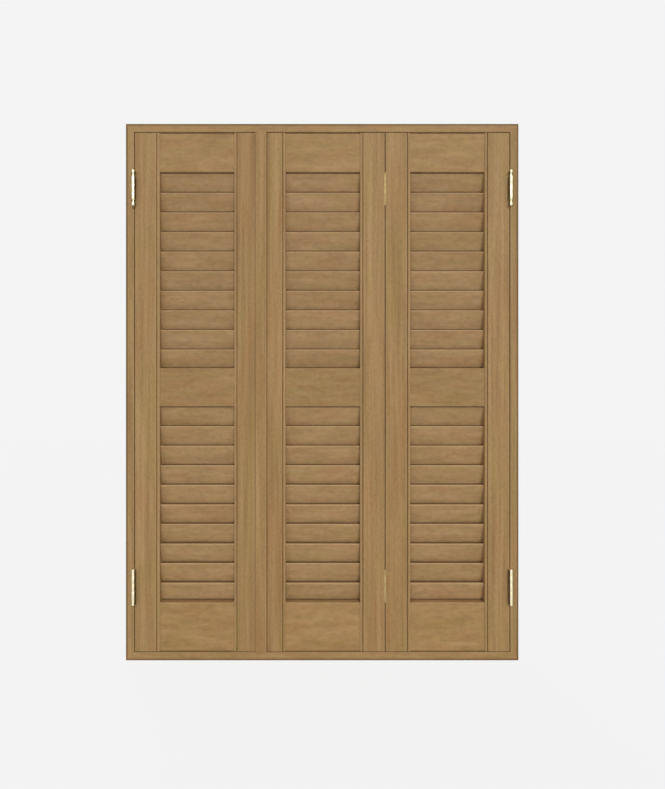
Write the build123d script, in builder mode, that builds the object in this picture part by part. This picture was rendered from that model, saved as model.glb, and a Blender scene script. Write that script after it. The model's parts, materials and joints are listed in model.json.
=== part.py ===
from build123d import *
import os
from math import cos, radians, sin
from typing import NamedTuple

# A timber window shutter with fixed louvres, in its own mitred frame.
# The left leaf hangs alone. The middle leaf is hinged to the right one, and the two fold together.
# +X is to the right as seen from the front, the front faces -Y and +Z is up.
# The origin is the middle of the sill's underside, halfway through the frame's depth. Millimetres.

# Frame: four mitred members of one L-shaped section
frame_width = 1200.0
frame_height = 1640.0
frame_depth = 64.0
frame_face = 25.0  # width of a member where it shows beside the leaves
stop_width = 22.0  # reach of the stop behind the leaves
stop_clearance = 1.0  # between the back of a leaf and the stop
frame_arris = 1.0  # easing of the front edges
fixing_hole = 8.0  # diameter of the holes for the wall screws
fixing_inset = 300.0  # from the frame's ends to those holes

# Loose tenons that hold the mitres
corner_tenon_thickness = 8.0
corner_tenon_width = 16.0
corner_tenon_length = 34.0

# Leaves
leaf_thickness = 45.0
hinge_gap = 2.5  # between a hung edge and its jamb
end_gap = 2.5  # above and below a leaf
fold_gap = 2.0  # between the two leaves that fold together
meeting_gap = 5.5  # between the single leaf and the folding pair, under the cover strip
closing_bevel = 4.0  # how much the single leaf's closing edge leans back, to swing clear
stile_width = 75.5
stile_arris = 0.8
bead_width = 8.3  # bead along the inner edge of each stile
bead_radius = 3.0
quirk_width = 2.6  # groove that sets the bead off
quirk_depth = 3.5
rail_setback = 3.5  # rails lie this far below both faces of the stiles
rail_arris = 1.2
top_rail_height = 118.0
middle_rail_height = 117.0
bottom_rail_height = 147.5
middle_rail_place = 807.0  # from the foot of a leaf to the middle of its middle rail
rail_tenon_thickness = 13.0
rail_tenon_length = 48.0
rail_tenon_shoulder = 18.0  # wood left above and below a tenon
rail_tenon_gap = 1.0  # beyond a tenon's end, in its mortise
joinery_fit = 0.1  # clearance of tenons, slat ends and hinge plates in their seats
cut_margin = 1.0  # how far a cut runs out past an open face

# Louvres
slat_width = 74.0
slat_thickness = 9.0
slat_tilt = 15.0  # from upright, in degrees, with the upper edge to the front
slat_pitch = 60.3
slat_start = 0.5  # from a rail down to the upper edge of the first slat
slat_least = 0.2  # share of a pitch that must be left for one more slat at the foot of a field
slat_setback = 9.5  # from the face of the stiles to the front of the slats
housing_depth = 6.0  # of the seats for the slat ends
slat_end_gap = 0.5  # beyond a slat's end, in its seat

# Strip on the middle leaf that covers the meeting joint
strip_width = 33.0
strip_thickness = 8.5
strip_lap = 9.5  # reach over the left leaf
strip_round = 2.5
strip_relief = 0.4  # clearance between the strip's lap and the left leaf


class HingeSize(NamedTuple):
    barrel: float  # height of the barrel and of the plates
    knuckle_radius: float
    pin_radius: float
    plate_thickness: float
    plate_reach: float  # how far a plate runs back from the knuckle's side of the leaf
    standoff: float  # from the face of the leaf to the pin's axis
    proud: float  # how much the plates stand out of the wood
    screw_row: float  # from the face of the leaf to the row of screws


jamb_hinge = HingeSize(70.0, 6.2, 2.0, 2.0, 28.0, 6.6, 0.0, 15.4)
fold_hinge = HingeSize(99.0, 5.0, 2.5, 2.6, 45.0, 5.4, 0.75, 24.2)
upper_hinge_place = 171.5  # from the top of a leaf to the middle of the upper hinges
lower_hinge_place = 199.0  # from the foot of a leaf to the middle of the lower hinges
knuckle_count = 3
knuckle_play = 0.3  # gap between neighbouring knuckles
pin_clearance = 0.05
swing_clearance = 0.4  # round a knuckle, in the other half's plate
finial_height = 20.0
finial_radius = 6.0
finial_dome = 4.0  # rise of the button's domed end
finial_flare = 7.0  # height over which the neck widens to the button
finial_neck = 3.1  # radius
finial_neck_top = 6.0  # from the barrel to where the flare starts
finial_foot = 5.2  # radius of the collar that stands on the barrel
finial_collar = 1.5  # height of that collar
plain_tip_dome = 1.5  # rise of the domed end of a plain tip, which has no neck
cap_socket = 8.0  # depth of the pin's socket in the lower tip
pin_foot_gap = 0.5  # below the pin's foot, in that socket

# Countersunk brass wood screws of the hinges, with tapered shanks
screw_length = 20.0
screw_radius = 1.8
screw_tip_radius = 0.5
screw_head_radius = 3.6
screw_head_height = 1.9
screws_per_plate = 3
screw_spacing = 26.0

# Places that follow from the sizes above
frame_front = -frame_depth / 2
frame_back = frame_depth / 2
leaf_front = frame_front
leaf_back = leaf_front + leaf_thickness
stop_front = leaf_back + stop_clearance
member_width = frame_face + stop_width
opening_side = frame_width / 2 - frame_face
leaf_foot = frame_face + end_gap
leaf_top = frame_height - frame_face - end_gap
leaf_height = leaf_top - leaf_foot
leaf_width = (2 * opening_side - 2 * hinge_gap - fold_gap - meeting_gap) / 3
field_width = leaf_width - 2 * stile_width
left_leaf_left = -opening_side + hinge_gap
left_leaf_right = left_leaf_left + leaf_width
middle_leaf_left = left_leaf_right + meeting_gap
middle_leaf_right = middle_leaf_left + leaf_width
right_leaf_left = middle_leaf_right + fold_gap
leaf_lefts = {"left": left_leaf_left, "middle": middle_leaf_left, "right": right_leaf_left}
middle_rail_middle = leaf_foot + middle_rail_place
fields = {
    "upper": (middle_rail_middle + middle_rail_height / 2, leaf_top - top_rail_height),
    "lower": (leaf_foot + bottom_rail_height, middle_rail_middle - middle_rail_height / 2),
}
rails = {
    "top": (leaf_top - top_rail_height, leaf_top),
    "middle": (fields["lower"][1], fields["upper"][0]),
    "bottom": (leaf_foot, leaf_foot + bottom_rail_height),
}
hinge_heights = {"upper": leaf_top - upper_hinge_place, "lower": leaf_foot + lower_hinge_place}
fold_axis = (middle_leaf_right + fold_gap / 2, leaf_back + fold_hinge.standoff)
corners = {
    "bottom_left": (-frame_width / 2, 0.0),
    "top_left": (-frame_width / 2, frame_height),
    "top_right": (frame_width / 2, frame_height),
    "bottom_right": (frame_width / 2, 0.0),
}


def save(piece, label):
    piece.part.label = label
    export_step(piece.part, f"parts/{label}.step")


# Frame

def corner_tenon(corner, grow=0.0):
    # A loose tenon square to the mitre, in the thick back half of the section
    x, z = corner
    inward = -1 if x > 0 else 1
    upward = 1 if z < frame_height / 2 else -1
    across = member_width / 2
    middle = (x + inward * across, (stop_front + frame_back) / 2, z + upward * across)
    with BuildPart() as tenon:
        with BuildSketch(Plane(origin=middle, x_dir=(0, 1, 0), z_dir=(inward, 0, -upward))):
            SlotOverall(corner_tenon_width + 2 * grow, corner_tenon_thickness + 2 * grow, rotation=90)
        extrude(amount=corner_tenon_length / 2 + grow, both=True)
    return tenon.part


def frame_member(start, end):
    # The section is drawn at one outer corner, with its x pointing into the opening
    start_point = Vector(start[0], 0, start[1])
    along = (Vector(end[0], 0, end[1]) - start_point).normalized()
    length = (Vector(end[0], 0, end[1]) - start_point).length
    inward = Vector(along.Z, 0, -along.X)
    mortises = [corner_tenon(corner, joinery_fit) for corner in (start, end)]
    with BuildPart() as member:
        with BuildSketch(Plane(origin=start_point, x_dir=inward, z_dir=along)) as section:
            with BuildLine():
                Polyline(
                    (0, frame_front),
                    (frame_face, frame_front),
                    (frame_face, stop_front),
                    (member_width, stop_front),
                    (member_width, frame_back),
                    (0, frame_back),
                    close=True,
                )
            make_face()
            chamfer(section.vertices().group_by(Axis.Y)[0], frame_arris)
        extrude(amount=length)
        split(bisect_by=Plane(origin=start_point, z_dir=along - inward), keep=Keep.TOP)
        far_end = start_point + along * length
        split(bisect_by=Plane(origin=far_end, z_dir=along + inward), keep=Keep.BOTTOM)
        for mortise in mortises:
            add(mortise, mode=Mode.SUBTRACT)
    return member.part


def jamb(start, end, side):
    plain = frame_member(start, end)
    face = side * opening_side
    seats = [hinge_seat(face, side, leaf_front, 1, z, jamb_hinge) for z in hinge_heights.values()]
    with BuildPart() as member:
        add(plain)
        for seat in seats:
            add(seat, mode=Mode.SUBTRACT)
        with BuildSketch(Plane.YZ.offset(side * frame_width / 2)):
            for z in (fixing_inset, frame_height - fixing_inset):
                with Locations(((stop_front + frame_back) / 2, z)):
                    Circle(fixing_hole / 2)
        extrude(amount=-side * member_width, mode=Mode.SUBTRACT)
    return member


def build_frame():
    with BuildPart() as head:
        add(frame_member(corners["top_left"], corners["top_right"]))
    save(head, "head")
    with BuildPart() as sill:
        add(frame_member(corners["bottom_right"], corners["bottom_left"]))
    save(sill, "sill")
    save(jamb(corners["bottom_left"], corners["top_left"], -1), "left_jamb")
    save(jamb(corners["top_right"], corners["bottom_right"], 1), "right_jamb")
    tenons = [corner_tenon(corner) for corner in corners.values()]
    with BuildPart() as group:
        for tenon in tenons:
            add(tenon)
    save(group, "corner_tenons")


# Screws and hinges

downwards = (Align.CENTER, Align.CENTER, Align.MAX)


def screw(plane):
    # The plane lies on the plate's face, and the screw runs in against its normal
    with BuildPart(plane) as body:
        Cone(screw_radius, screw_head_radius, screw_head_height, align=downwards)
        with Locations((0, 0, -screw_head_height)):
            Cone(screw_tip_radius, screw_radius, screw_length - screw_head_height, align=downwards)
    return body.part


def screw_hole(plane):
    # Countersunk through the plate, and plain and round in the wood
    radius = screw_radius + joinery_fit
    with BuildPart(plane) as hole:
        Cone(radius, screw_head_radius + joinery_fit, screw_head_height + joinery_fit, align=downwards)
        Cylinder(radius, screw_length + joinery_fit, align=downwards)
    return hole.part


def screw_planes(face_x, into, face_y, back, height, size):
    # One plane for each screw of a plate that lies against the wood at face_x
    y = face_y + back * size.screw_row
    face = face_x - into * size.proud
    first = height - screw_spacing * (screws_per_plate - 1) / 2
    return [
        Plane(origin=(face, y, first + row * screw_spacing), x_dir=(0, 1, 0), z_dir=(-into, 0, 0))
        for row in range(screws_per_plate)
    ]


def hinge_seat(face_x, into, face_y, back, height, size):
    # Recess for a plate, open to the face that the knuckles stand on, with its screw holes
    depth = size.plate_thickness - size.proud + joinery_fit
    start = face_y - back * cut_margin
    end = face_y + back * (size.plate_reach + joinery_fit)
    holes = [screw_hole(plane) for plane in screw_planes(face_x, into, face_y, back, height, size)]
    with BuildPart() as seat:
        with BuildSketch(Plane.YZ.offset(face_x)):
            with Locations(((start + end) / 2, height)):
                Rectangle(abs(end - start), size.barrel + 2 * joinery_fit)
        extrude(amount=into * depth)
        for hole in holes:
            add(hole)
    return seat.part


def knuckle_spans(height, size):
    step = size.barrel / knuckle_count
    low = height - size.barrel / 2
    return [
        (low + i * step + knuckle_play / 2, low + (i + 1) * step - knuckle_play / 2)
        for i in range(knuckle_count)
    ]


def hinge_half(axis, face_x, into, face_y, back, height, size, own):
    # A plate let into the wood at face_x, rolled into every second knuckle from number own
    spans = knuckle_spans(height, size)
    others = spans[1 - own::2]
    plate_start = face_x - into * size.proud
    tip = face_y + back * size.plate_reach
    holes = [screw_hole(plane) for plane in screw_planes(face_x, into, face_y, back, height, size)]
    with BuildPart() as half:
        with BuildSketch(Plane.YZ.offset(plate_start)):
            with Locations(((axis[1] + tip) / 2, height)):
                Rectangle(abs(tip - axis[1]), size.barrel)
        extrude(amount=into * size.plate_thickness)
        for low, high in others:
            with BuildSketch(Plane.XY.offset(low - knuckle_play)):
                with Locations(axis):
                    Circle(size.knuckle_radius + swing_clearance)
            extrude(amount=high - low + 2 * knuckle_play, mode=Mode.SUBTRACT)
        for low, high in spans[own::2]:
            with BuildSketch(Plane.XY.offset(low)):
                with Locations(axis):
                    Circle(size.knuckle_radius)
            extrude(amount=high - low)
        with BuildSketch(Plane.XY.offset(height)):
            with Locations(axis):
                Circle(size.pin_radius + pin_clearance)
        extrude(amount=size.barrel, both=True, mode=Mode.SUBTRACT)
        for hole in holes:
            add(hole, mode=Mode.SUBTRACT)
    return half


def dome_radius(rise):
    return (finial_radius**2 + rise**2) / (2 * rise)


def turned_tip(axis, end, up):
    # A collar, a slim neck and a flared button with a domed end
    plane = Plane(origin=(axis[0], axis[1], end), x_dir=(1, 0, 0), z_dir=(0, -up, 0))
    rim = finial_height - finial_dome
    with BuildPart() as tip:
        with BuildSketch(plane):
            with BuildLine():
                Polyline(
                    (0, finial_height),
                    (0, 0),
                    (finial_foot, 0),
                    (finial_foot, finial_collar),
                    (finial_neck, finial_collar * 2),
                    (finial_neck, finial_neck_top),
                    (finial_radius, finial_neck_top + finial_flare),
                    (finial_radius, rim),
                )
                RadiusArc((finial_radius, rim), (0, finial_height), -dome_radius(finial_dome))
            make_face()
        revolve(axis=Axis((axis[0], axis[1], end), (0, 0, 1)))
    return tip.part


def plain_tip(axis, end, up):
    # A straight tip that carries the barrel on to the same height
    plane = Plane(origin=(axis[0], axis[1], end), x_dir=(1, 0, 0), z_dir=(0, -up, 0))
    rim = finial_height - plain_tip_dome
    with BuildPart() as tip:
        with BuildSketch(plane):
            with BuildLine():
                Polyline((0, finial_height), (0, 0), (finial_radius, 0), (finial_radius, rim))
                RadiusArc((finial_radius, rim), (0, finial_height), -dome_radius(plain_tip_dome))
            make_face()
        revolve(axis=Axis((axis[0], axis[1], end), (0, 0, 1)))
    return tip.part


# The upper hinges have turned tips and the lower ones plain tips
tips = {"upper": turned_tip, "lower": plain_tip}


def hinge_pin(axis, height, size, tip):
    # The pin of a jamb hinge carries the upper tip, and its foot goes into the lower one
    top = height + size.barrel / 2
    button = tip(axis, top, 1)
    with BuildPart() as pin:
        with BuildSketch(Plane.XY.offset(top)):
            with Locations(axis):
                Circle(size.pin_radius)
        extrude(amount=-(size.barrel + cap_socket - pin_foot_gap))
        add(button)
    return pin


def hinge_cap(axis, height, size, tip):
    foot = height - size.barrel / 2
    button = tip(axis, foot, -1)
    with BuildPart() as cap:
        add(button)
        with BuildSketch(Plane.XY.offset(foot)):
            with Locations(axis):
                Circle(size.pin_radius + pin_clearance)
        extrude(amount=-cap_socket, mode=Mode.SUBTRACT)
    return cap


def build_jamb_hinges():
    for side_name, side in (("left", -1), ("right", 1)):
        jamb_face = side * opening_side
        leaf_edge = jamb_face - side * hinge_gap
        axis = ((jamb_face + leaf_edge) / 2, leaf_front - jamb_hinge.standoff)
        for name, height in hinge_heights.items():
            label = f"{side_name}_{name}_hinge"
            fixed = hinge_half(axis, jamb_face, side, leaf_front, 1, height, jamb_hinge, 0)
            save(fixed, f"{label}_jamb_half")
            moving = hinge_half(axis, leaf_edge, -side, leaf_front, 1, height, jamb_hinge, 1)
            save(moving, f"{label}_leaf_half")
            save(hinge_pin(axis, height, jamb_hinge, tips[name]), f"{label}_pin")
            save(hinge_cap(axis, height, jamb_hinge, tips[name]), f"{label}_cap")


def build_fold_hinges():
    for name, height in hinge_heights.items():
        label = f"fold_{name}_hinge"
        right = hinge_half(fold_axis, right_leaf_left, 1, leaf_back, -1, height, fold_hinge, 0)
        save(right, f"{label}_right_half")
        middle = hinge_half(fold_axis, middle_leaf_right, -1, leaf_back, -1, height, fold_hinge, 1)
        save(middle, f"{label}_middle_half")
        with BuildPart() as pin:
            with BuildSketch(Plane.XY.offset(height)):
                with Locations(fold_axis):
                    Circle(fold_hinge.pin_radius)
            extrude(amount=fold_hinge.barrel / 2, both=True)
        save(pin, f"{label}_pin")


# Which edges of the leaves carry hinges: leaf, face, into the wood, face of the knuckles, back, size
hung_edges = [
    ("left", left_leaf_left, 1, leaf_front, 1, jamb_hinge),
    ("right", opening_side - hinge_gap, -1, leaf_front, 1, jamb_hinge),
    ("middle", middle_leaf_right, -1, leaf_back, -1, fold_hinge),
    ("right", right_leaf_left, 1, leaf_back, -1, fold_hinge),
]
jamb_edges = [
    ("frame", -opening_side, -1, leaf_front, 1, jamb_hinge),
    ("frame", opening_side, 1, leaf_front, 1, jamb_hinge),
]


def build_screws():
    groups = {"frame": "frame_hinge_screws"}
    groups.update({leaf: f"{leaf}_leaf_screws" for leaf in leaf_lefts})
    for owner, label in groups.items():
        screws = []
        for edge in hung_edges + jamb_edges:
            if edge[0] == owner:
                for height in hinge_heights.values():
                    planes = screw_planes(*edge[1:5], height, edge[5])
                    screws += [screw(plane) for plane in planes]
        with BuildPart() as group:
            for one in screws:
                add(one)
        save(group, label)


# Leaves

def slat_sections(plane, field, grow=0.0):
    # Round-edged boards at even pitch from the upper rail down, the last one cut off by the lower rail
    low, high = field
    count = int((high - low) / slat_pitch + 1 - slat_least)
    tilt = radians(slat_tilt)
    flat = slat_width - slat_thickness
    half_rise = flat / 2 * cos(tilt) + slat_thickness / 2
    middle_y = leaf_front + slat_setback + flat / 2 * sin(tilt) + slat_thickness / 2
    top_edge = high - slat_start
    with BuildSketch(plane) as boards:
        with Locations(*[(middle_y, top_edge - i * slat_pitch - half_rise) for i in range(count)]):
            SlotOverall(slat_width + 2 * grow, slat_thickness + 2 * grow, rotation=90 + slat_tilt)
        with Locations((middle_y, (low + high) / 2)):
            Rectangle(slat_width + 2 * grow, high - low, mode=Mode.INTERSECT)
    return boards.sketch


def stile(outer_x, inward, seats, bevel=0.0):
    # The section is drawn from the outer edge, and runs the full height of the leaf
    base = leaf_foot if inward > 0 else leaf_top
    origin = (outer_x, leaf_front, base)
    section_plane = Plane(origin=origin, x_dir=(inward, 0, 0), z_dir=(0, 0, inward))
    inner_plane = Plane.YZ.offset(outer_x + inward * stile_width)
    housings = [slat_sections(inner_plane, field, joinery_fit) for field in fields.values()]
    with BuildPart() as post:
        with BuildSketch(section_plane) as section:
            with BuildLine():
                Polyline(
                    (0, 0),
                    (stile_width, 0),
                    (stile_width, leaf_thickness),
                    (bevel, leaf_thickness),
                    close=True,
                )
            make_face()
            inner = section.vertices().group_by(Axis.X)[-1]
            fillet(inner, bead_radius)
            outer = section.vertices().group_by(Axis.X)[0].sort_by(Axis.Y)[0]
            chamfer(outer, stile_arris)
            quirk_x = stile_width - bead_width
            with Locations((quirk_x, quirk_depth / 2), (quirk_x, leaf_thickness - quirk_depth / 2)):
                Rectangle(quirk_width, quirk_depth, mode=Mode.SUBTRACT)
        extrude(amount=leaf_height)
        for low, high in rails.values():
            with BuildSketch(inner_plane):
                with Locations((leaf_front + leaf_thickness / 2, (low + high) / 2)):
                    tall = high - low - 2 * rail_tenon_shoulder + 2 * joinery_fit
                    Rectangle(rail_tenon_thickness + 2 * joinery_fit, tall)
            extrude(amount=-inward * (rail_tenon_length + rail_tenon_gap), mode=Mode.SUBTRACT)
        for housing in housings:
            extrude(housing, amount=-inward * housing_depth, mode=Mode.SUBTRACT)
        for seat in seats:
            add(seat, mode=Mode.SUBTRACT)
    return post


def rail(left_x, low, high):
    # The body fits between the stiles, and its tenon runs on into both
    middle = (leaf_front + leaf_thickness / 2, (low + high) / 2)
    start = left_x + stile_width
    with BuildPart() as board:
        with BuildSketch(Plane.YZ.offset(start)) as section:
            with Locations(middle):
                Rectangle(leaf_thickness - 2 * rail_setback, high - low)
            chamfer(section.vertices(), rail_arris)
        extrude(amount=field_width)
        with BuildSketch(Plane.YZ.offset(start - rail_tenon_length)):
            with Locations(middle):
                Rectangle(rail_tenon_thickness, high - low - 2 * rail_tenon_shoulder)
        extrude(amount=field_width + 2 * rail_tenon_length)
    return board


def build_leaf(leaf):
    left_x = leaf_lefts[leaf]
    right_x = left_x + leaf_width
    seats = {-1: [], 1: []}
    for owner, face_x, into, face_y, back, size in hung_edges:
        if owner == leaf:
            for height in hinge_heights.values():
                seats[into].append(hinge_seat(face_x, into, face_y, back, height, size))
    save(stile(left_x, 1, seats[1]), f"{leaf}_leaf_left_stile")
    bevel = closing_bevel if leaf == "left" else 0.0
    save(stile(right_x, -1, seats[-1], bevel), f"{leaf}_leaf_right_stile")
    for name, (low, high) in rails.items():
        save(rail(left_x, low, high), f"{leaf}_leaf_{name}_rail")
    seated = housing_depth - slat_end_gap
    for name, field in fields.items():
        boards = slat_sections(Plane.YZ.offset(left_x + stile_width - seated), field)
        with BuildPart() as slats:
            extrude(boards, amount=field_width + 2 * seated)
        save(slats, f"{leaf}_leaf_{name}_slats")


def build_cover_strip():
    # Fixed to the face of the middle leaf, relieved behind where it laps over the left one
    left = left_leaf_right - strip_lap
    front = leaf_front - strip_thickness
    with BuildPart() as strip:
        with BuildSketch(Plane.XY.offset(leaf_foot)) as section:
            with BuildLine():
                Polyline(
                    (left, front),
                    (left + strip_width, front),
                    (left + strip_width, leaf_front),
                    (middle_leaf_left, leaf_front),
                    (middle_leaf_left, leaf_front - strip_relief),
                    (left, leaf_front - strip_relief),
                    close=True,
                )
            make_face()
            fillet(section.vertices().group_by(Axis.Y)[0], strip_round)
        extrude(amount=leaf_height)
    save(strip, "cover_strip")


os.makedirs("parts", exist_ok=True)
build_frame()
for leaf_name in leaf_lefts:
    build_leaf(leaf_name)
build_cover_strip()
build_jamb_hinges()
build_fold_hinges()
build_screws()
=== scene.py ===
import json
from math import cos, pi, radians, sin

import bmesh
import bpy
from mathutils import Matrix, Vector


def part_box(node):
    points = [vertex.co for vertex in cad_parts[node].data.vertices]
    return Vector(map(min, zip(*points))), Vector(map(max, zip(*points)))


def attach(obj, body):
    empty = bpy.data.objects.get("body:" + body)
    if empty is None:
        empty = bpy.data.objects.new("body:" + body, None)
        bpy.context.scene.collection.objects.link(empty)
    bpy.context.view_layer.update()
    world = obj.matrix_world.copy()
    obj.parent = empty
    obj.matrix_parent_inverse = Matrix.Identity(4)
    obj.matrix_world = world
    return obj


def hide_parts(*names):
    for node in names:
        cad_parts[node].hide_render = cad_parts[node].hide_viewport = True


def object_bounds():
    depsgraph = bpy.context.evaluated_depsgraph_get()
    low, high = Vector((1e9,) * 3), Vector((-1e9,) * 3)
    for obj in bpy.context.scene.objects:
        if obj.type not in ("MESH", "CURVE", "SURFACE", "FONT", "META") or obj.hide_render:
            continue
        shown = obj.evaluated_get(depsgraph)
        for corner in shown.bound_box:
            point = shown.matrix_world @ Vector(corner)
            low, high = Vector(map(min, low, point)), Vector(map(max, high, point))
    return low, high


# A timber window shutter with fixed louvres in its own frame, seen square on.
# Metres, with +X to the right, the front towards -Y and +Z up, as in the model.

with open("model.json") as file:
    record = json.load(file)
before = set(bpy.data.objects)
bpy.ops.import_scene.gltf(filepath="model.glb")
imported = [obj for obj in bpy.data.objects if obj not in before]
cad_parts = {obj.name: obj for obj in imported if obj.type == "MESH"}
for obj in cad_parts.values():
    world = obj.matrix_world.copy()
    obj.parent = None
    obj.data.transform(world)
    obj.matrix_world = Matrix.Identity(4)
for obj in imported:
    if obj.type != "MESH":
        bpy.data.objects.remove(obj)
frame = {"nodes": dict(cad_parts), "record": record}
cadLow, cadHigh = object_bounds()
cadNodes = frame["nodes"]
bodyOf = {node: body for body, held in frame["record"]["behaviour"]["bodies"].items() for node in held}
slotOf = {row["node"]: row["material_slot"] for row in frame["record"]["subparts"]}
millimetre = 0.001
print("frame loaded:", len(cadNodes), "nodes")


# Camera: level and square on, at the height and side that the photograph was taken from

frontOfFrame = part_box("head")[0].y
photograph = {
    "size": (665, 789),  # pixels
    "leftEdge": 125.8,  # pixel column of the frame's left edge
    "topEdge": 123.7,  # pixel row of the frame's top edge
    "pixel": 3.055 * millimetre,  # what one pixel covers on the front of the frame
    "distance": 1.48,  # from the lens to the front of the frame
}
columns, rows = photograph["size"]
cameraData = bpy.data.cameras.new("camera")
cameraData.sensor_width = 36.0  # along the longer side of the picture
cameraData.lens = cameraData.sensor_width * photograph["distance"] / (rows * photograph["pixel"])
cameraData.clip_start = 0.05
camera = bpy.data.objects.new("camera", cameraData)
bpy.context.scene.collection.objects.link(camera)
camera.location = (
    cadLow.x + (columns / 2 - photograph["leftEdge"]) * photograph["pixel"],
    frontOfFrame - photograph["distance"],
    cadHigh.z - (rows / 2 - photograph["topEdge"]) * photograph["pixel"],
)
camera.rotation_euler = (pi / 2, 0, 0)
bpy.context.scene.camera = camera


# Small tools

def deselectAll():
    if bpy.context.object and bpy.context.object.mode != "OBJECT":
        bpy.ops.object.mode_set(mode="OBJECT")
    bpy.ops.object.select_all(action="DESELECT")


def workOn(piece):
    deselectAll()
    piece.select_set(True)
    bpy.context.view_layer.objects.active = piece


def linear(hexColour):
    # From an sRGB hex value to the linear colour that a node takes
    channels = [int(hexColour[i : i + 2], 16) / 255 for i in (1, 3, 5)]
    return tuple(c / 12.92 if c <= 0.04045 else ((c + 0.055) / 1.055) ** 2.4 for c in channels) + (1.0,)


def addNode(tree, kind, settings=None, sockets=None, stops=None):
    # A socket takes a value, or the output that is linked to it. Stops are (place, hex or grey) of a ramp
    node = tree.nodes.new(kind)
    for name, value in (settings or {}).items():
        setattr(node, name, value)
    for name, value in (sockets or {}).items():
        if isinstance(value, bpy.types.NodeSocket):
            tree.links.new(value, node.inputs[name])
        else:
            node.inputs[name].default_value = value
    if stops:
        points = node.color_ramp.elements
        while len(points) < len(stops):
            points.new(0.5)
        for point, (place, colour) in zip(points, stops):
            point.position = place
            point.color = linear(colour) if isinstance(colour, str) else (colour, colour, colour, 1.0)
    return node


def newMaterial(name):
    material = bpy.data.materials.new(name)
    material.use_nodes = True
    material.node_tree.nodes.clear()
    return material, material.node_tree


# Stained oak under a satin lacquer. The planed and sanded boards show soft straight streaks, a drift
# between an olive and a reddish brown, and fine pores along the grain. The rounded edges are lighter,
# where the stain was rubbed back, with a painted highlight on them as well. The stain is darker on the
# end grain, which drinks it in. The loose tenons are of beech, bare and pale, with the same fine figure.

# Size of each part of the figure, across and along the grain, in mm
straightGrain = {
    "contrast": 0.25,  # of the bands: the least and the most brown lie this far from the middle
    "band": (13.0, 420.0),  # growth bands
    "streak": (6.0, 120.0),
    "mottle": (5.0, 9.0),  # soft cloudiness of the stain
    "fibre": (1.8, 22.0),
    "drift": (50.0, 240.0),  # the slow change of tint
    "pore": (0.9, 11.0),
}
flatGrain = {
    "contrast": 0.38,
    "band": (20.0, 120.0),
    "streak": (6.0, 32.0),
    "mottle": (12.0, 20.0),
    "fibre": (1.8, 14.0),
    "drift": (36.0, 100.0),
    "pore": (0.9, 9.0),
}
# Detail and distortion of the noise that draws each part
noiseOf = {
    "band": (3.0, 0.25),
    "streak": (3.0, 0.2),
    "mottle": (2.0, 0.3),
    "fibre": (2.0, 0.0),
    "drift": (2.0, 0.3),
    "pore": (1.0, 0.0),
}
# What the parts, and the board's own number, do to the colour of the bands. Each darkens, lightens or
# tints what comes before it.
tints = {
    "drift": [(0.36, "#fcfff4"), (0.50, "#ffffff"), (0.64, "#fff9f5")],
    "streak": [(0.32, 0.92), (0.52, 0.99), (0.74, 1.0)],
    "mottle": [(0.34, 0.88), (0.50, 0.96), (0.66, 1.0)],
    "fibre": [(0.30, 0.93), (0.56, 1.0), (0.80, 1.0)],
    "pore": [(0.27, 0.78), (0.36, 1.0), (0.60, 1.0)],
    "board": [(0.0, "#f8f9f5"), (0.5, "#fcfbf8"), (1.0, "#ffffff")],
}
boardShift = (3.71, 2.93, 5.17)  # metres from the grain of board number 0 to that of number 1
# The largest part of the normal is 1 on a flat face and falls to 0.7 on an eased edge. The part along
# the grain is 1 on the end of a board.
# the eased edges are painted lighter: rubbed-back stain and a painted highlight
rubbedEdgeAndHighlight = {"none": 0.93, "full": 0.78, "share": 0.75}
boardEnd = {"none": 0.80, "full": 0.97, "share": 0.45, "colour": "#6f5434"}
lacquer = {
    "roughness": (0.56, 0.70),
    "streaks": (0.3, 0.7),  # the values of the streaks at the least and the most roughness
    "level": 0.22,
    "poreDepth": 0.12 * millimetre,
    "poreStrength": 0.5,
}
# Painted shade: a dark colour laid where the front of a slat goes down behind the next one or meets a
# rail, on the floor of the quirk beside the bead of a stile and along the cover strip's lap, and a
# painted dark outline along the frame's outer rim. Each is named after the attribute that it is read
# from, with the values at which it starts and is full, in mm, or in thousandths in the quirk, and how
# much it covers.
paintedCreviceShade = {
    "fall": (57.0, 60.0, 0.6),
    "underRail": (-7.0, -1.0, 0.3),
    "overRail": (-6.5, -3.0, 0.6),
    "quirk": (200, 1000, 0.40),
    "lap": (-2.8, -0.5, 0.35),
    "rim": (-7.4, -4.6, 0.55),
}
# colour of the painted shade in the crevices and of the painted dark outline on the rim
paintedShadeColour = "#452f16"
paintedShadeRise = 5.8 * millimetre  # how much higher the painted shade reaches on the uppermost slats


def drawParts(tree, place, grain, figure):
    # Each part of the figure as noise on the board, which is moved so that no two boards are alike
    board = addNode(tree, "ShaderNodeAttribute", {"attribute_name": "board"}).outputs["Fac"]
    shift = addNode(
        tree, "ShaderNodeVectorMath", {"operation": "SCALE"}, {0: boardShift, "Scale": board}
    ).outputs[0]
    moved = addNode(tree, "ShaderNodeVectorMath", {"operation": "ADD"}, {0: place, 1: shift}).outputs[0]
    drawn = {"board": board}
    for part, (detail, distortion) in noiseOf.items():
        across, along = (1 / (size * millimetre) for size in figure[part])
        scale = tuple(along if axis == grain else across for axis in "XYZ")
        mapped = addNode(tree, "ShaderNodeMapping", None, {"Vector": moved, "Scale": scale}).outputs[0]
        sockets = {"Vector": mapped, "Scale": 1.0, "Detail": detail, "Distortion": distortion}
        drawn[part] = addNode(tree, "ShaderNodeTexNoise", None, sockets).outputs["Fac"]
    return drawn


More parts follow.
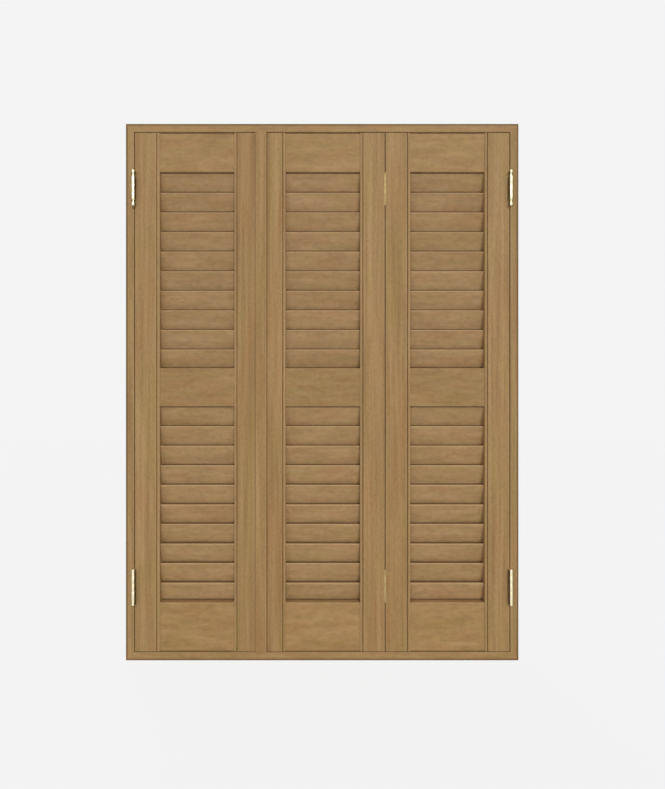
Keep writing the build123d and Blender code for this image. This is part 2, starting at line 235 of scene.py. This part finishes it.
def stainedColour(tree, drawn, contrast, dark, middle, light):
    halfway = 0.5  # of the noise
    stops = [(halfway - contrast, dark), (halfway, middle), (halfway + contrast, light)]
    colour = addNode(tree, "ShaderNodeValToRGB", None, {"Fac": drawn["band"]}, stops).outputs["Color"]
    for part, stops in tints.items():
        tint = addNode(tree, "ShaderNodeValToRGB", None, {"Fac": drawn[part]}, stops).outputs["Color"]
        colour = addNode(
            tree,
            "ShaderNodeMix",
            {"data_type": "RGBA", "blend_type": "MULTIPLY"},
            {"Factor": 1.0, 6: colour, 7: tint},
        ).outputs[2]
    return colour


def coverWood(tree, colour, normal, grain, rubbedAndHighlit, shadedCrevices):
    # Lays the rubbed edges with their painted highlight, the end grain and the painted shade in the
    # crevices over the colour, and gives the result
    facing = addNode(tree, "ShaderNodeVectorMath", {"operation": "ABSOLUTE"}, {0: normal}).outputs[0]
    parts = addNode(tree, "ShaderNodeSeparateXYZ", None, {0: facing}).outputs
    widest = parts["X"]
    for other in ("Z", "Y"):
        widest = addNode(
            tree, "ShaderNodeMath", {"operation": "MAXIMUM"}, {0: widest, 1: parts[other]}
        ).outputs[0]
    # Each layer is what it is read from, with the values at which it starts and is full, how much it
    # covers, and its colour
    layers = [
        (widest, rubbedEdgeAndHighlight["none"], rubbedEdgeAndHighlight["full"], rubbedEdgeAndHighlight["share"], rubbedAndHighlit),
        (parts[grain], boardEnd["none"], boardEnd["full"], boardEnd["share"], boardEnd["colour"]),
    ]
    # each crevice that the piece has gets its painted shade
    for crevice in shadedCrevices:
        none, full, share = paintedCreviceShade[crevice]
        depth = addNode(tree, "ShaderNodeAttribute", {"attribute_name": crevice}).outputs["Fac"]
        layers.append((depth, none * millimetre, full * millimetre, share, paintedShadeColour))
    for source, none, full, share, other in layers:
        amount = addNode(
            tree, "ShaderNodeMapRange", None, {0: source, 1: none, 2: full, 3: 0.0, 4: share}
        ).outputs[0]
        colour = addNode(
            tree, "ShaderNodeMix", {"data_type": "RGBA"}, {"Factor": amount, 6: colour, 7: linear(other)}
        ).outputs[2]
    return colour


def woodMaterial(name, grain, figure, tones, shadedCrevices=()):
    # grain is the axis that the grain runs along, tones are the dark, middle and light brown and the
    # colour of the rubbed edges with their painted highlight, and the last argument names the crevices
    # where such a piece gets painted shade
    material, tree = newMaterial(name)
    place = addNode(tree, "ShaderNodeTexCoord").outputs
    drawn = drawParts(tree, place["Object"], grain, figure)
    dark, middle, light, rubbedAndHighlit = tones
    colour = stainedColour(tree, drawn, figure["contrast"], dark, middle, light)
    colour = coverWood(tree, colour, place["Normal"], grain, rubbedAndHighlit, shadedCrevices)
    # Each piece is scaled by a tone of its own besides: partly its own stain, partly painted light set
    # piece by piece
    tone = addNode(tree, "ShaderNodeAttribute", {"attribute_name": "tone"}).outputs["Fac"]
    toned = addNode(
        tree, "ShaderNodeVectorMath", {"operation": "SCALE"}, {0: colour, "Scale": tone}
    ).outputs[0]

    least, most = lacquer["streaks"]
    low, high = lacquer["roughness"]
    gloss = addNode(
        tree, "ShaderNodeMapRange", None, {0: drawn["streak"], 1: least, 2: most, 3: low, 4: high}
    ).outputs[0]
    height = addNode(
        tree, "ShaderNodeMath", {"operation": "ADD"}, {0: drawn["fibre"], 1: drawn["pore"]}
    ).outputs[0]
    sockets = {"Height": height, "Strength": lacquer["poreStrength"], "Distance": lacquer["poreDepth"]}
    bump = addNode(tree, "ShaderNodeBump", None, sockets).outputs[0]
    sockets = {"Base Color": toned, "Roughness": gloss, "Normal": bump}
    sockets["Specular IOR Level"] = lacquer["level"]
    shader = addNode(tree, "ShaderNodeBsdfPrincipled", None, sockets)
    addNode(tree, "ShaderNodeOutputMaterial", None, {"Surface": shader.outputs[0]})
    return material


# Turned and rolled brass, polished and lacquered pale. It mirrors the light softly. Whatever faces
# left or right, the sides of the barrels and the plates, is painted a dark brown and made rougher:
# painted shade and a painted dark reflection along the barrels' edges.

# The painted dark sides are read from the sideways part of the normal, which is 1 on the side of a
# barrel. The cloud is the unevenness of the polish: how many there are in a metre, and the values at
# which the darker and the lighter shade, and the most and the least roughness, are reached.
paintedDarkSides = {"none": 0.40, "full": 0.76}
cloud = {"scale": 60.0, "detail": 1.0, "shades": (0.35, 0.65), "gloss": (0.3, 0.7)}


def brassMaterial(name, tones, roughness):
    # tones are the colour of the painted dark sides and the darker and lighter shade of the clean metal,
    # and roughness is the clean metal's least and most, and that of the painted dark sides
    material, tree = newMaterial(name)
    place = addNode(tree, "ShaderNodeTexCoord").outputs
    sockets = {"Vector": place["Object"], "Scale": cloud["scale"], "Detail": cloud["detail"]}
    uneven = addNode(tree, "ShaderNodeTexNoise", None, sockets).outputs["Fac"]

    darkSideColour, dull, bright = tones
    stops = list(zip(cloud["shades"], (dull, bright)))
    clean = addNode(tree, "ShaderNodeValToRGB", None, {"Fac": uneven}, stops).outputs["Color"]
    # painted shade and dark reflection: the sides that face left or right are darkened and roughened
    towards = addNode(tree, "ShaderNodeSeparateXYZ", None, {0: place["Normal"]}).outputs["X"]
    sideways = addNode(tree, "ShaderNodeMath", {"operation": "ABSOLUTE"}, {0: towards}).outputs[0]
    sockets = {0: sideways, 1: paintedDarkSides["none"], 2: paintedDarkSides["full"], 3: 0.0, 4: 1.0}
    amount = addNode(tree, "ShaderNodeMapRange", None, sockets).outputs[0]
    colour = addNode(
        tree, "ShaderNodeMix", {"data_type": "RGBA"}, {"Factor": amount, 6: clean, 7: linear(darkSideColour)}
    ).outputs[2]

    rough, smooth = cloud["gloss"]
    least, most, darkSideRoughness = roughness
    gloss = addNode(
        tree, "ShaderNodeMapRange", None, {0: uneven, 1: rough, 2: smooth, 3: most, 4: least}
    ).outputs[0]
    dulled = addNode(
        tree, "ShaderNodeMix", {"data_type": "FLOAT"}, {"Factor": amount, 2: gloss, 3: darkSideRoughness}
    ).outputs[0]
    sockets = {"Base Color": colour, "Metallic": 1.0, "Roughness": dulled}
    shader = addNode(tree, "ShaderNodeBsdfPrincipled", None, sockets)
    addNode(tree, "ShaderNodeOutputMaterial", None, {"Surface": shader.outputs[0]})
    return material


stileTones = ("#96764c", "#a48357", "#b19065", "#c1a278")
railTones = ("#96764c", "#a48357", "#b19065", "#c7a77c")
materials = {
    "frame_jamb_wood": woodMaterial(
        "stainedOakJamb", "Z", straightGrain, ("#95764f", "#a38357", "#b09065", "#c0a076"), ["rim"]
    ),
    "frame_rail_wood": woodMaterial(
        "stainedOakHead", "X", flatGrain, ("#9b7a51", "#a9875b", "#b69469", "#c4a479"), ["rim"]
    ),
    "stile_wood": woodMaterial("stainedOakStile", "Z", straightGrain, stileTones, ["quirk", "lap"]),
    "rail_wood": woodMaterial("stainedOakRail", "X", flatGrain, railTones),
    "slat_wood": woodMaterial(
        "stainedOakSlat",
        "X",
        flatGrain,
        ("#9c7c55", "#aa8960", "#b7966e", "#bb9b72"),
        ["fall", "underRail", "overRail"],
    ),
    "strip_wood": woodMaterial("stainedOakStrip", "Z", straightGrain, stileTones),
    "tenon_wood": woodMaterial(
        "bareBeechTenon", "X", flatGrain, ("#b08e63", "#bd9b70", "#c9a97e", "#cfb188")
    ),
    "hinge_brass": brassMaterial("polishedBrass", ("#4f3e1e", "#f4e6bd", "#fbf2d6"), (0.46, 0.52, 0.70)),
    # fold hinges: darker, rougher brass, partly a duller finish and partly painted shade of the fold gap
    "fold_hinge_brass": brassMaterial(
        "darkenedFoldHingeBrass", ("#4f4024", "#b6a070", "#c6af80"), (0.76, 0.82, 0.82)
    ),
    "screw_brass": brassMaterial(
        "satinBrassScrew", ("#a98a50", "#b7975a", "#cdb277"), (0.28, 0.42, 0.45)
    ),
}
print("materials made:", len(materials))


# Wooden pieces: each is a copy of its solid, and on the frame, the stiles, the rails and the strip the
# long edges are eased by a hand plane

merged = {"within": 0.005 * millimetre, "flat": radians(0.4)}  # what is one point, and one face
eased = {
    "width": 0.5 * millimetre,
    "steps": 2,
    "shortest": 1.0 * millimetre,  # edges under this are parts of arcs, and stay
    "sharp": radians(40),
    "lengthwise": 0.999,  # least part of an edge's direction that lies along the grain
    "smooth": radians(32),
}


def copyOfNode(node, name):
    piece = bpy.data.objects.new(name, cadNodes[node].data.copy())
    bpy.context.scene.collection.objects.link(piece)
    piece.data.materials.clear()
    workOn(piece)
    bpy.ops.object.mode_set(mode="EDIT")
    bpy.ops.mesh.select_all(action="SELECT")
    bpy.ops.mesh.remove_doubles(threshold=merged["within"])
    bpy.ops.mesh.dissolve_limited(angle_limit=merged["flat"])
    bpy.ops.object.mode_set(mode="OBJECT")
    return piece


def easeEdges(piece, finish, along=None):
    # finish says how wide the eased edges are, in how many steps, and how long the shortest one is.
    # along is the grain's axis: only edges that run that way, or lie on the ends, are eased.
    workOn(piece)
    bpy.ops.object.mode_set(mode="EDIT")
    bpy.ops.mesh.select_mode(type="EDGE")
    bpy.ops.mesh.select_all(action="DESELECT")
    mesh = bmesh.from_edit_mesh(piece.data)
    if along is not None:
        ends = [vertex.co[along] for vertex in mesh.verts]
        low, high = min(ends) + finish["shortest"], max(ends) - finish["shortest"]
    for edge in mesh.edges:
        if not (edge.is_manifold and edge.is_convex) or edge.calc_length() < finish["shortest"]:
            continue
        if edge.calc_face_angle() < eased["sharp"]:
            continue
        if along is not None:
            a, b = edge.verts[0].co, edge.verts[1].co
            lengthwise = abs((b - a).normalized()[along]) > eased["lengthwise"]
            onEnd = max(a[along], b[along]) < low or min(a[along], b[along]) > high
            if not (lengthwise or onEnd):
                continue
        edge.select_set(True)
    bmesh.update_edit_mesh(piece.data)
    bpy.ops.mesh.bevel(
        offset=finish["width"], segments=finish["steps"], affect="EDGES", clamp_overlap=False
    )
    bpy.ops.object.mode_set(mode="OBJECT")


def boardsIn(mesh):
    # The number of the connected board that each vertex belongs to, and how many there are
    links = [[] for _ in mesh.vertices]
    for edge in mesh.edges:
        a, b = edge.vertices
        links[a].append(b)
        links[b].append(a)
    board = [-1] * len(links)
    count = 0
    for start in range(len(links)):
        if board[start] >= 0:
            continue
        board[start] = count
        waiting = [start]
        while waiting:
            for other in links[waiting.pop()]:
                if board[other] < 0:
                    board[other] = count
                    waiting.append(other)
        count += 1
    return board, count


# How much lighter or darker the pieces with these words in their names are: partly each piece's own
# tone and partly painted light, with the right jamb lighter than the left and the lower slats lighter
# than the upper
toneAndPaintedLightOf = {
    "middle_rail": 0.94,
    "bottom_rail": 1.04,
    "upper_slats": 0.98,
    "lower_slats": 1.015,
    "left_leaf": 0.975,
    "left_jamb": 0.985,
    "right_jamb": 1.015,
    "sill": 0.965,
}
goldenShare = 0.618034  # each board's number is this much more than the last one's, past 1 from 0 again


def addMark(piece, name, values):
    piece.data.attributes.new(name, "FLOAT", "POINT").data.foreach_set("value", values)


def markBoards(piece, node, first):
    # Gives every board a number of its own from 0 to 1, so that no two show the same grain
    board, count = boardsIn(piece.data)
    addMark(piece, "board", [((first + number) * goldenShare) % 1.0 for number in board])
    tone = 1.0
    for words, factor in toneAndPaintedLightOf.items():
        tone *= factor if words in node else 1.0
    addMark(piece, "tone", [tone] * len(board))
    return count


def markSlats(piece, low, high):
    # Marks how far each point lies below the top of its own slat, with the rise of the painted shade
    # added, and, as lengths below nought, from the rails over and under the field
    board, count = boardsIn(piece.data)
    heights = [vertex.co.z for vertex in piece.data.vertices]
    tops = [low] * count
    for height, number in zip(heights, board):
        tops[number] = max(tops[number], height)
    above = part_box("left_leaf_middle_rail")[1].z
    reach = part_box("left_leaf_top_rail")[0].z - above
    rises = [paintedShadeRise * max(0.0, (top - above) / reach) for top in tops]
    falls = [tops[number] + rises[number] - height for height, number in zip(heights, board)]
    addMark(piece, "fall", falls)
    addMark(piece, "underRail", [height - high for height in heights])
    addMark(piece, "overRail", [low - height for height in heights])


quirk = {"depth": 3.5 * millimetre, "within": 0.1 * millimetre}
frontReach = 2 * millimetre  # what lies within this of the front of the frame counts as its front
farOff = -1.0  # what the rest is marked with
# How far a place lies beyond the frame's outline, or under the cover strip
pastRim = {
    "left_jamb": lambda place: cadLow.x - place.x,
    "right_jamb": lambda place: place.x - cadHigh.x,
    "head": lambda place: place.z - cadHigh.z,
    "sill": lambda place: cadLow.z - place.z,
}
stripLow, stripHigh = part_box("cover_strip")
pastLap = {
    "left_leaf_right_stile": lambda place: place.x - stripLow.x,
    "middle_leaf_left_stile": lambda place: stripHigh.x - place.x,
}


def markQuirk(piece, front):
    # Marks the floor of the groove beside the bead with 1
    depths = [vertex.co.y - front - quirk["depth"] for vertex in piece.data.vertices]
    addMark(piece, "quirk", [1.0 if abs(depth) < quirk["within"] else 0.0 for depth in depths])


def markFront(piece, name, beyond):
    # Marks the front of a piece with the length that beyond gives for a place, and the rest as far off
    values = []
    for vertex in piece.data.vertices:
        atFront = vertex.co.y < frontOfFrame + frontReach
        values.append(beyond(vertex.co) if atFront else farOff)
    addMark(piece, name, values)


firstSlat = {"edge": 4.5 * millimetre, "rise": 0.45 * millimetre}  # height of its edge, and how far up


def raiseFirstSlat(piece, top):
    # Draws the rounded upper edge of the first slat up to the rail, so that no light shows over it
    workOn(piece)
    for vertex in piece.data.vertices:
        vertex.select = vertex.co.z > top - firstSlat["edge"]
    bpy.ops.object.mode_set(mode="EDIT")
    bpy.ops.mesh.select_mode(type="VERT")
    bpy.ops.transform.translate(value=(0, 0, firstSlat["rise"]))
    bpy.ops.object.mode_set(mode="OBJECT")


def finishPiece(piece, node):
    workOn(piece)
    bpy.ops.object.shade_smooth_by_angle(angle=eased["smooth"])
    piece.data.materials.append(materials[slotOf[node]])
    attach(piece, bodyOf[node])
    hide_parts(node)


# The grain's axis of the pieces whose long edges are eased
lengthwiseAxis = {
    "frame_jamb_wood": 2,
    "stile_wood": 2,
    "strip_wood": 2,
    "frame_rail_wood": 0,
    "rail_wood": 0,
}
boardCount = 0
for node in sorted(cadNodes):
    slot = slotOf[node]
    if not slot.endswith("_wood"):
        continue
    piece = copyOfNode(node, node + "_wood")
    if slot in lengthwiseAxis:
        easeEdges(piece, eased, lengthwiseAxis[slot])
    boardCount += markBoards(piece, node, boardCount)
    low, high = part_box(node)
    if node in pastRim:
        markFront(piece, "rim", pastRim[node])
    if slot == "slat_wood":
        markSlats(piece, low.z, high.z)
        raiseFirstSlat(piece, high.z)
    if slot == "stile_wood":
        markQuirk(piece, low.y)
        markFront(piece, "lap", pastLap.get(node, lambda place: farOff))
    finishPiece(piece, node)
    even = piece.modifiers.new("evenShading", "WEIGHTED_NORMAL")
    even.keep_sharp = True
    bpy.ops.object.modifier_apply(modifier=even.name)
print("wooden pieces finished:", boardCount, "boards")


# Hinge halves: copies of the solids with the rims of the knuckles and the plates' edges broken

brassEdge = {"width": 0.15 * millimetre, "steps": 2, "shortest": 0.45 * millimetre}

for node in sorted(cadNodes):
    if node.endswith("_half"):
        half = copyOfNode(node, node + "_brass")
        easeEdges(half, brassEdge)
        finishPiece(half, node)
print("hinge halves finished")


# Turned pieces: the pins of the jamb hinges with their upper tips, the lower tips, and the plain pins.
# The upper hinges have turned tips and the lower ones plain tips.

turned = {  # radii, heights and lengths in mm
    "sides": 48,
    "foot": 5.2,  # radius of the collar on the barrel
    "footEdge": 0.25,
    "collar": 1.5,
    "neck": 3.1,
    "neckTop": 6.0,
    "roll": (0.35, 0.3),  # how far the collar and the neck are rounded in, and up or down
    "neckFoot": 0.4,
    "flareFoot": 0.6,
    "flareTop": 13.0,
    "flareSteps": 6,
    "flareCurve": 1.25,
    "button": 6.0,
    "rim": 16.0,
    "rimEdge": 0.5,
    "domeSteps": 8,
    "height": 20.0,
    "plainRim": 18.5,
    "plainEdge": 0.4,
    "socket": (2.05, 8.0),  # radius and depth in the lower tip
    "clearance": 0.05,  # of the pin's shank in the barrel
    "point": (0.8, 0.5),  # share of the shank's radius at its end, and over what length
}


def domePoints(rim):
    rise = turned["height"] - rim
    points = []
    for step in range(turned["domeSteps"]):
        turn = pi / 2 * step / turned["domeSteps"]
        points.append((turned["button"] * cos(turn), rim + rise * sin(turn)))
    return points


def tipProfile():
    # (radius, height) from the barrel to the top of the dome, in mm
    foot, collar, neck, button = (turned[key] for key in ("foot", "collar", "neck", "button"))
    edge, neckTop = turned["footEdge"], turned["neckTop"]
    inwards, upwards = turned["roll"]
    points = [(foot - edge, 0.0), (foot, edge), (foot, collar - upwards), (foot - inwards, collar)]
    points += [(neck + inwards, 2 * collar - upwards), (neck, 2 * collar + turned["neckFoot"])]
    points.append((neck, neckTop - turned["flareFoot"]))
    for step in range(1, turned["flareSteps"] + 1):
        share = step / turned["flareSteps"]
        radius = neck + (button - neck) * share ** turned["flareCurve"]
        points.append((radius, neckTop + (turned["flareTop"] - neckTop) * share))
    points.append((button, turned["rim"] - turned["rimEdge"]))
    return points + domePoints(turned["rim"])


def plainProfile():
    button, edge, rim = turned["button"], turned["footEdge"], turned["plainRim"]
    points = [(button - edge, 0.0), (button, edge), (button, rim - turned["plainEdge"])]
    return points + domePoints(rim)


def turnPiece(name, centre, rings, up):
    # rings are (radius, height) in metres, and the first and the last are closed by flat faces
    deselectAll()
    radius, height = rings[0]
    first = (centre[0], centre[1], centre[2] + up * height)
    bpy.ops.mesh.primitive_circle_add(
        vertices=turned["sides"], radius=radius, fill_type="NGON", location=first
    )
    piece = bpy.context.object
    piece.name = name
    bpy.ops.object.transform_apply(location=True, rotation=True, scale=True)
    bpy.ops.object.mode_set(mode="EDIT")
    bpy.ops.mesh.select_mode(type="FACE")
    bpy.ops.mesh.select_all(action="SELECT")
    for i in range(1, len(rings)):
        step = up * (rings[i][1] - rings[i - 1][1])
        bpy.ops.mesh.extrude_region_move(TRANSFORM_OT_translate={"value": (0, 0, step)})
        ratio = rings[i][0] / rings[i - 1][0]
        middle = (centre[0], centre[1], centre[2] + up * rings[i][1])
        bpy.ops.transform.resize(value=(ratio, ratio, 1), center_override=middle)
    bpy.ops.mesh.select_all(action="SELECT")
    bpy.ops.mesh.normals_make_consistent(inside=False)
    bpy.ops.object.mode_set(mode="OBJECT")
    return piece


def inMetres(points):
    return [(radius * millimetre, height * millimetre) for radius, height in points]


for node in sorted(cadNodes):
    if not slotOf[node].endswith("hinge_brass") or node.endswith("_half"):
        continue
    low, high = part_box(node)
    middle = (low + high) / 2
    name = node + "_brass"
    tip = inMetres(tipProfile() if "_upper_" in node else plainProfile())
    if node.startswith("fold_"):
        radius, length = (high.x - low.x) / 2, high.z - low.z
        edge = brassEdge["width"]
        rings = [(radius - edge, 0), (radius, edge), (radius, length - edge), (radius - edge, length)]
        piece = turnPiece(name, (middle.x, middle.y, low.z), rings, 1)
    elif node.endswith("_pin"):
        barrelTop = high.z - turned["height"] * millimetre
        radius = (turned["socket"][0] - turned["clearance"]) * millimetre
        end = low.z - barrelTop
        share, taper = turned["point"]
        shank = [(radius * share, end), (radius, end + taper * millimetre), (radius, 0)]
        piece = turnPiece(name, (middle.x, middle.y, barrelTop), shank + tip, 1)
    else:
        radius, depth = turned["socket"]
        socket = inMetres([(radius, depth), (radius, 0)])
        piece = turnPiece(name, (middle.x, middle.y, high.z), socket + tip, -1)
    finishPiece(piece, node)
print("turned brass finished")


# Screws: copies of the solids, each with a slot sawn across its head

slotted = {
    "width": 0.9 * millimetre,
    "depth": 0.8 * millimetre,
    "length": 9.0 * millimetre,
    "turns": (20, 47),  # degrees that the first slot is turned, and each one after it more
    "onFace": 0.01 * millimetre,  # points within this of an end of the screw lie on its face
}


def screwHeads(mesh):
    # The middle of the head's face of every screw in the group
    board, count = boardsIn(mesh)
    heads = []
    for number in range(count):
        points = [vertex.co for vertex, owner in zip(mesh.vertices, board) if owner == number]
        low, high = min(point.x for point in points), max(point.x for point in points)
        spread = {}
        for end in (low, high):
            across = [point.y for point in points if abs(point.x - end) < slotted["onFace"]]
            spread[end] = max(across) - min(across)
        face = max(spread, key=spread.get)
        y = sum(point.y for point in points) / len(points)
        z = (max(point.z for point in points) + min(point.z for point in points)) / 2
        heads.append(Vector((face, y, z)))
    return heads


for node in sorted(cadNodes):
    if slotOf[node] != "screw_brass":
        continue
    screws = copyOfNode(node, node + "_brass")
    saws = []
    first, more = slotted["turns"]
    for number, head in enumerate(screwHeads(screws.data)):
        deselectAll()
        bpy.ops.mesh.primitive_cube_add(size=1.0, location=head)
        saw = bpy.context.object
        # The saw's middle lies on the face, so half of it cuts
        saw.scale = (2 * slotted["depth"], slotted["length"], slotted["width"])
        saw.rotation_euler = (radians(first + more * number), 0, 0)
        saws.append(saw)
    deselectAll()
    for saw in saws:
        saw.select_set(True)
    bpy.context.view_layer.objects.active = saws[0]
    bpy.ops.object.transform_apply(location=True, rotation=True, scale=True)
    bpy.ops.object.join()
    workOn(screws)
    cut = screws.modifiers.new("slots", "BOOLEAN")
    cut.operation = "DIFFERENCE"
    cut.object = saws[0]
    bpy.ops.object.modifier_apply(modifier=cut.name)
    bpy.data.objects.remove(saws[0])
    finishPiece(screws, node)
print("screws finished")


# Floor, background and light: a pale studio, with a broad soft lamp far off, high on the right, and
# weaker ones on the left and behind

studio = {
    "background": "#f4f4f4",
    "floorSize": 14.0,
    "floorCuts": 3,
    "floorColour": "#eeeeee",
    "floorGlow": 0.96,  # how much of the floor is plain background, and the rest takes shadows
    "sky": 0.32,
    "lampSpread": radians(26),
    "lampDistance": 3.0,
}
# Each lamp: degrees to the right of the front and above the floor, and its strength
lamps = {"softLamp": (18, 30, 1.8), "fillLamp": (-35, 25, 0.38), "backLamp": (205, 35, 1.2)}


def seenDirectly(tree):
    # 1 for the rays that show the backdrop itself, straight, mirrored or through glass
    rays = addNode(tree, "ShaderNodeLightPath").outputs
    seen = rays["Is Camera Ray"]
    for other in ("Is Glossy Ray", "Is Transmission Ray"):
        seen = addNode(
            tree, "ShaderNodeMath", {"operation": "ADD", "use_clamp": True}, {0: seen, 1: rays[other]}
        ).outputs[0]
    return seen


deselectAll()
bpy.ops.mesh.primitive_plane_add(size=studio["floorSize"], location=(0, 0, cadLow.z))
floor = bpy.context.object
floor.name = "floor"
bpy.ops.object.mode_set(mode="EDIT")
bpy.ops.mesh.subdivide(number_cuts=studio["floorCuts"])
bpy.ops.object.mode_set(mode="OBJECT")
bpy.ops.object.transform_apply(location=True, rotation=True, scale=True)
floorMaterial, tree = newMaterial("paleStudioFloor")
glow = addNode(
    tree, "ShaderNodeMath", {"operation": "MULTIPLY"}, {0: seenDirectly(tree), 1: studio["floorGlow"]}
)
backdropColour = linear(studio["background"])
plain = addNode(tree, "ShaderNodeEmission", None, {"Color": backdropColour, "Strength": 1.0})
matt = addNode(tree, "ShaderNodeBsdfDiffuse", None, {"Color": linear(studio["floorColour"])})
both = addNode(
    tree, "ShaderNodeMixShader", None, {0: glow.outputs[0], 1: matt.outputs[0], 2: plain.outputs[0]}
)
addNode(tree, "ShaderNodeOutputMaterial", None, {"Surface": both.outputs[0]})
floor.data.materials.append(floorMaterial)

world = bpy.data.worlds.new("studio")
world.use_nodes = True
tree = world.node_tree
tree.nodes.clear()
sky = addNode(tree, "ShaderNodeBackground", None, {"Color": linear("#ffffff"), "Strength": studio["sky"]})
backdrop = addNode(tree, "ShaderNodeBackground", None, {"Color": backdropColour, "Strength": 1.0})
both = addNode(
    tree, "ShaderNodeMixShader", None, {0: seenDirectly(tree), 1: sky.outputs[0], 2: backdrop.outputs[0]}
)
addNode(tree, "ShaderNodeOutputWorld", None, {"Surface": both.outputs[0]})
bpy.context.scene.world = world

for name, (aside, above, strength) in lamps.items():
    lampData = bpy.data.lights.new(name, "SUN")
    lampData.energy = strength
    lampData.angle = studio["lampSpread"]
    lamp = bpy.data.objects.new(name, lampData)
    bpy.context.scene.collection.objects.link(lamp)
    turn, rise = radians(aside), radians(above)
    towardsLamp = Vector((sin(turn) * cos(rise), -cos(turn) * cos(rise), sin(rise)))
    lamp.location = studio["lampDistance"] * towardsLamp
    lamp.rotation_euler = towardsLamp.to_track_quat("Z", "Y").to_euler()
bpy.context.scene.view_settings.view_transform = "Standard"
print("studio made")
